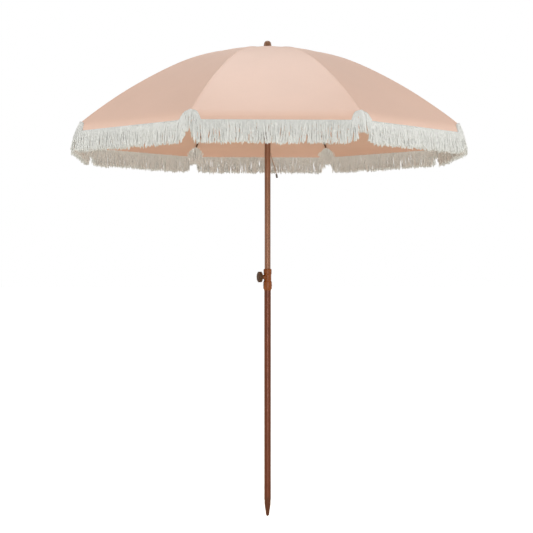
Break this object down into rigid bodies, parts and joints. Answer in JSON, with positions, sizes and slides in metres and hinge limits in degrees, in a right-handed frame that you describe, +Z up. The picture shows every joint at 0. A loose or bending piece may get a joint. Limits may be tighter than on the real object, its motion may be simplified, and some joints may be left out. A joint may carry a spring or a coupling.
{
  "type": "fringed beach umbrella",
  "caption": "Open round beach umbrella with a blush fabric canopy, white cotton fringe and a telescoping bronze pole with clamp knob and ground spike.",
  "frame": {"origin": "tip of the ground spike on the pole's axis", "axes": "+Z up along the pole; a flat side of the eight-sided canopy faces +X and another +Y"},
  "size_m": [1.5616, 1.5616, 2],
  "materials": {
    "lower_pole_coat": "satin copper-brown coat",
    "upper_pole_coat": "satin bronze coat",
    "spike_plastic": "satin copper-brown",
    "collar_plastic": "bronze moulded",
    "dark_plastic": "dark brown moulded",
    "finial_plastic": "bronze gloss",
    "brass": "machined",
    "steel": "zinc plated",
    "rib_rod": "bronze-brown coated spring rod",
    "fitting_plastic": "dark brown moulded",
    "stretcher_rod": "bronze-brown coated rod",
    "canopy_cloth": "plain-woven blush cloth",
    "fringe_cotton": "twisted cotton",
    "strap_webbing": "narrow woven strap",
    "strap_tip": "grey moulded"
  },
  "bodies": {
    "lower_mast": {"lower_tube": "lower_pole_coat", "ground_spike": "spike_plastic", "height_collar": "collar_plastic", "collar_insert": "brass", "collar_rivets": "steel"},
    "clamp_screw": {"clamp_pad": "dark_plastic"},
    "clamp_handle": {"clamp_knob": "dark_plastic", "clamp_stud": "steel"},
    "upper_mast": {"upper_tube": "upper_pole_coat", "foot_plug": "dark_plastic", "crown": "dark_plastic", "crown_wire": "steel", "finial": "finial_plastic", "finial_bolt": "steel", "top_cap": "canopy_cloth"},
    "catch": {"runner_catch": "steel"},
    "runner_body": {"runner": "dark_plastic", "runner_wire": "steel"},
    "rib_body_1": {"rib_1": "rib_rod", "rib_fittings_1": "fitting_plastic", "canopy_gore_1": "canopy_cloth"},
    "stretcher_body_1": {"stretcher_1": "stretcher_rod"},
    "fringe_body_1": {"fringe_1": "fringe_cotton"},
    "rib_body_2": {"rib_2": "rib_rod", "rib_fittings_2": "fitting_plastic", "canopy_gore_2": "canopy_cloth"},
    "stretcher_body_2": {"stretcher_2": "stretcher_rod"},
    "fringe_body_2": {"fringe_2": "fringe_cotton", "tie_strap": "strap_webbing", "strap_end": "strap_tip"},
    "rib_body_3": {"rib_3": "rib_rod", "rib_fittings_3": "fitting_plastic", "canopy_gore_3": "canopy_cloth"},
    "stretcher_body_3": {"stretcher_3": "stretcher_rod"},
    "fringe_body_3": {"fringe_3": "fringe_cotton"},
    "rib_body_4": {"rib_4": "rib_rod", "rib_fittings_4": "fitting_plastic", "canopy_gore_4": "canopy_cloth"},
    "stretcher_body_4": {"stretcher_4": "stretcher_rod"},
    "fringe_body_4": {"fringe_4": "fringe_cotton"},
    "rib_body_5": {"rib_5": "rib_rod", "rib_fittings_5": "fitting_plastic", "canopy_gore_5": "canopy_cloth"},
    "stretcher_body_5": {"stretcher_5": "stretcher_rod"},
    "fringe_body_5": {"fringe_5": "fringe_cotton"},
    "rib_body_6": {"rib_6": "rib_rod", "rib_fittings_6": "fitting_plastic", "canopy_gore_6": "canopy_cloth"},
    "stretcher_body_6": {"stretcher_6": "stretcher_rod"},
    "fringe_body_6": {"fringe_6": "fringe_cotton"},
    "rib_body_7": {"rib_7": "rib_rod", "rib_fittings_7": "fitting_plastic", "canopy_gore_7": "canopy_cloth"},
    "stretcher_body_7": {"stretcher_7": "stretcher_rod"},
    "fringe_body_7": {"fringe_7": "fringe_cotton"},
    "rib_body_8": {"rib_8": "rib_rod", "rib_fittings_8": "fitting_plastic", "canopy_gore_8": "canopy_cloth"},
    "stretcher_body_8": {"stretcher_8": "stretcher_rod"},
    "fringe_body_8": {"fringe_8": "fringe_cotton"}
  },
  "joints": [
    {"name": "knob_slide", "type": "slide", "parent": "lower_mast", "child": "clamp_screw", "axis": [-0.9397, -0.342, 0], "range_m": [0, 0.002]},
    {"name": "knob_turn", "type": "hinge", "parent": "clamp_screw", "child": "clamp_handle", "pos_m": [0, 0, 1.006], "axis": [-0.9397, -0.342, 0], "range_deg": [0, 720]},
    {"name": "height_adjust", "type": "slide", "parent": "lower_mast", "child": "upper_mast", "axis": [0, 0, 1], "range_m": [-0.08, 0.2]},
    {"name": "catch_press", "type": "slide", "parent": "upper_mast", "child": "catch", "axis": [0, -1, 0], "range_m": [0, 0.0032], "stiffness_N_per_m": 600, "springref_m": -0.0006},
    {"name": "runner_slide", "type": "slide", "parent": "upper_mast", "child": "runner_body", "axis": [0, 0, 1], "range_m": [-0.42031, 0]},
    {"name": "rib_fold_1", "type": "hinge", "parent": "upper_mast", "child": "rib_body_1", "pos_m": [0.01848, 0.00765, 1.9457], "axis": [-0.3827, 0.9239, 0], "range_deg": [0, 63.05], "deforming": ["canopy_gore_1"]},
    {"name": "stretcher_fold_1", "type": "hinge", "parent": "runner_body", "child": "stretcher_body_1", "pos_m": [0.02108, 0.01522, 1.6072], "axis": [-0.3827, 0.9239, 0], "range_deg": [-37.48, 0]},
    {"name": "fringe_swing_1", "type": "hinge", "parent": "rib_body_1", "child": "fringe_body_1", "pos_m": [0.74672, 0.3093, 1.61896], "axis": [-0.3827, 0.9239, 0], "range_deg": [-63.05, 0], "deforming": ["fringe_1"]},
    {"name": "rib_fold_2", "type": "hinge", "parent": "upper_mast", "child": "rib_body_2", "pos_m": [0.00765, 0.01848, 1.9457], "axis": [-0.9239, 0.3827, 0], "range_deg": [0, 63.05], "deforming": ["canopy_gore_2"]},
    {"name": "stretcher_fold_2", "type": "hinge", "parent": "runner_body", "child": "stretcher_body_2", "pos_m": [0.00414, 0.02567, 1.6072], "axis": [-0.9239, 0.3827, 0], "range_deg": [-37.48, 0]},
    {"name": "fringe_swing_2", "type": "hinge", "parent": "rib_body_2", "child": "fringe_body_2", "pos_m": [0.3093, 0.74672, 1.61896], "axis": [-0.9239, 0.3827, 0], "range_deg": [-63.05, 0], "deforming": ["fringe_2"]},
    {"name": "rib_fold_3", "type": "hinge", "parent": "upper_mast", "child": "rib_body_3", "pos_m": [-0.00765, 0.01848, 1.9457], "axis": [-0.9239, -0.3827, 0], "range_deg": [0, 63.05], "deforming": ["canopy_gore_3"]},
    {"name": "stretcher_fold_3", "type": "hinge", "parent": "runner_body", "child": "stretcher_body_3", "pos_m": [-0.01522, 0.02108, 1.6072], "axis": [-0.9239, -0.3827, 0], "range_deg": [-37.48, 0]},
    {"name": "fringe_swing_3", "type": "hinge", "parent": "rib_body_3", "child": "fringe_body_3", "pos_m": [-0.3093, 0.74672, 1.61896], "axis": [-0.9239, -0.3827, 0], "range_deg": [-63.05, 0], "deforming": ["fringe_3"]},
    {"name": "rib_fold_4", "type": "hinge", "parent": "upper_mast", "child": "rib_body_4", "pos_m": [-0.01848, 0.00765, 1.9457], "axis": [-0.3827, -0.9239, 0], "range_deg": [0, 63.05], "deforming": ["canopy_gore_4"]},
    {"name": "stretcher_fold_4", "type": "hinge", "parent": "runner_body", "child": "stretcher_body_4", "pos_m": [-0.02567, 0.00414, 1.6072], "axis": [-0.3827, -0.9239, 0], "range_deg": [-37.48, 0]},
    {"name": "fringe_swing_4", "type": "hinge", "parent": "rib_body_4", "child": "fringe_body_4", "pos_m": [-0.74672, 0.3093, 1.61896], "axis": [-0.3827, -0.9239, 0], "range_deg": [-63.05, 0], "deforming": ["fringe_4"]},
    {"name": "rib_fold_5", "type": "hinge", "parent": "upper_mast", "child": "rib_body_5", "pos_m": [-0.01848, -0.00765, 1.9457], "axis": [0.3827, -0.9239, 0], "range_deg": [0, 63.05], "deforming": ["canopy_gore_5"]},
    {"name": "stretcher_fold_5", "type": "hinge", "parent": "runner_body", "child": "stretcher_body_5", "pos_m": [-0.02108, -0.01522, 1.6072], "axis": [0.3827, -0.9239, 0], "range_deg": [-37.48, 0]},
    {"name": "fringe_swing_5", "type": "hinge", "parent": "rib_body_5", "child": "fringe_body_5", "pos_m": [-0.74672, -0.3093, 1.61896], "axis": [0.3827, -0.9239, 0], "range_deg": [-63.05, 0], "deforming": ["fringe_5"]},
    {"name": "rib_fold_6", "type": "hinge", "parent": "upper_mast", "child": "rib_body_6", "pos_m": [-0.00765, -0.01848, 1.9457], "axis": [0.9239, -0.3827, 0], "range_deg": [0, 63.05], "deforming": ["canopy_gore_6"]},
    {"name": "stretcher_fold_6", "type": "hinge", "parent": "runner_body", "child": "stretcher_body_6", "pos_m": [-0.00414, -0.02567, 1.6072], "axis": [0.9239, -0.3827, 0], "range_deg": [-37.48, 0]},
    {"name": "fringe_swing_6", "type": "hinge", "parent": "rib_body_6", "child": "fringe_body_6", "pos_m": [-0.3093, -0.74672, 1.61896], "axis": [0.9239, -0.3827, 0], "range_deg": [-63.05, 0], "deforming": ["fringe_6"]},
    {"name": "rib_fold_7", "type": "hinge", "parent": "upper_mast", "child": "rib_body_7", "pos_m": [0.00765, -0.01848, 1.9457], "axis": [0.9239, 0.3827, 0], "range_deg": [0, 63.05], "deforming": ["canopy_gore_7"]},
    {"name": "stretcher_fold_7", "type": "hinge", "parent": "runner_body", "child": "stretcher_body_7", "pos_m": [0.01522, -0.02108, 1.6072], "axis": [0.9239, 0.3827, 0], "range_deg": [-37.48, 0]},
    {"name": "fringe_swing_7", "type": "hinge", "parent": "rib_body_7", "child": "fringe_body_7", "pos_m": [0.3093, -0.74672, 1.61896], "axis": [0.9239, 0.3827, 0], "range_deg": [-63.05, 0], "deforming": ["fringe_7"]},
    {"name": "rib_fold_8", "type": "hinge", "parent": "upper_mast", "child": "rib_body_8", "pos_m": [0.01848, -0.00765, 1.9457], "axis": [0.3827, 0.9239, 0], "range_deg": [0, 63.05], "deforming": ["canopy_gore_8"]},
    {"name": "stretcher_fold_8", "type": "hinge", "parent": "runner_body", "child": "stretcher_body_8", "pos_m": [0.02567, -0.00414, 1.6072], "axis": [0.3827, 0.9239, 0], "range_deg": [-37.48, 0]},
    {"name": "fringe_swing_8", "type": "hinge", "parent": "rib_body_8", "child": "fringe_body_8", "pos_m": [0.74672, -0.3093, 1.61896], "axis": [0.3827, 0.9239, 0], "range_deg": [-63.05, 0], "deforming": ["fringe_8"]}
  ],
  "couplings": [
    {"joint": "knob_slide", "follows": "knob_turn", "m_per_rad": 0.00015915},
    {"joint": "rib_fold_1", "follows": "runner_slide", "rad_per_m": -2.6161},
    {"joint": "stretcher_fold_1", "follows": "runner_slide", "rad_per_m": 1.5545},
    {"joint": "fringe_swing_1", "follows": "runner_slide", "rad_per_m": 2.6161},
    {"joint": "rib_fold_2", "follows": "runner_slide", "rad_per_m": -2.6161},
    {"joint": "stretcher_fold_2", "follows": "runner_slide", "rad_per_m": 1.5545},
    {"joint": "fringe_swing_2", "follows": "runner_slide", "rad_per_m": 2.6161},
    {"joint": "rib_fold_3", "follows": "runner_slide", "rad_per_m": -2.6161},
    {"joint": "stretcher_fold_3", "follows": "runner_slide", "rad_per_m": 1.5545},
    {"joint": "fringe_swing_3", "follows": "runner_slide", "rad_per_m": 2.6161},
    {"joint": "rib_fold_4", "follows": "runner_slide", "rad_per_m": -2.6161},
    {"joint": "stretcher_fold_4", "follows": "runner_slide", "rad_per_m": 1.5545},
    {"joint": "fringe_swing_4", "follows": "runner_slide", "rad_per_m": 2.6161},
    {"joint": "rib_fold_5", "follows": "runner_slide", "rad_per_m": -2.6161},
    {"joint": "stretcher_fold_5", "follows": "runner_slide", "rad_per_m": 1.5545},
    {"joint": "fringe_swing_5", "follows": "runner_slide", "rad_per_m": 2.6161},
    {"joint": "rib_fold_6", "follows": "runner_slide", "rad_per_m": -2.6161},
    {"joint": "stretcher_fold_6", "follows": "runner_slide", "rad_per_m": 1.5545},
    {"joint": "fringe_swing_6", "follows": "runner_slide", "rad_per_m": 2.6161},
    {"joint": "rib_fold_7", "follows": "runner_slide", "rad_per_m": -2.6161},
    {"joint": "stretcher_fold_7", "follows": "runner_slide", "rad_per_m": 1.5545},
    {"joint": "fringe_swing_7", "follows": "runner_slide", "rad_per_m": 2.6161},
    {"joint": "rib_fold_8", "follows": "runner_slide", "rad_per_m": -2.6161},
    {"joint": "stretcher_fold_8", "follows": "runner_slide", "rad_per_m": 1.5545},
    {"joint": "fringe_swing_8", "follows": "runner_slide", "rad_per_m": 2.6161}
  ]
}
